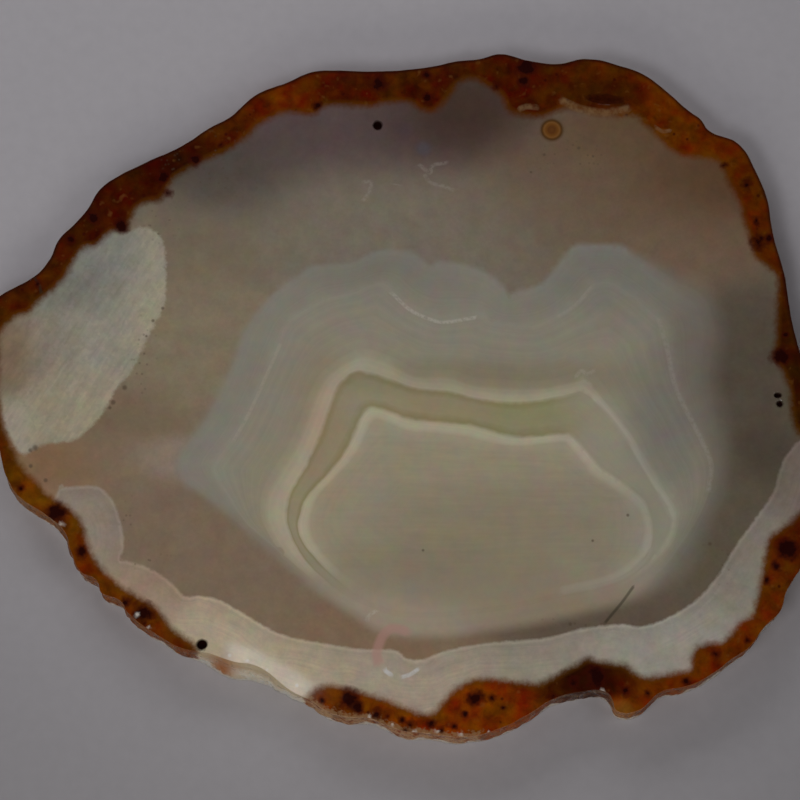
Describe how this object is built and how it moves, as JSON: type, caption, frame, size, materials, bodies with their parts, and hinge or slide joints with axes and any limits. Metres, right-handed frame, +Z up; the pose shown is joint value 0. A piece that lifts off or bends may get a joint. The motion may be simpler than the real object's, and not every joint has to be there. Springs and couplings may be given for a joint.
{
  "type": "agate slice",
  "caption": "Flat sawn slice of banded agate with a polished face, a rough iron-stained rind and an irregular natural outline.",
  "frame": {"origin": "under the middle of the slice's bounding box, on the flat sawn back that it lies on", "axes": "+X along the longest side of the slice, +Y across it towards its far edge, +Z up out of the polished face"},
  "size_m": [0.1058, 0.0878, 0.005],
  "materials": {
    "agate": "polished"
  },
  "bodies": {
    "root": {"agate_slice": "agate"}
  },
  "joints": []
}
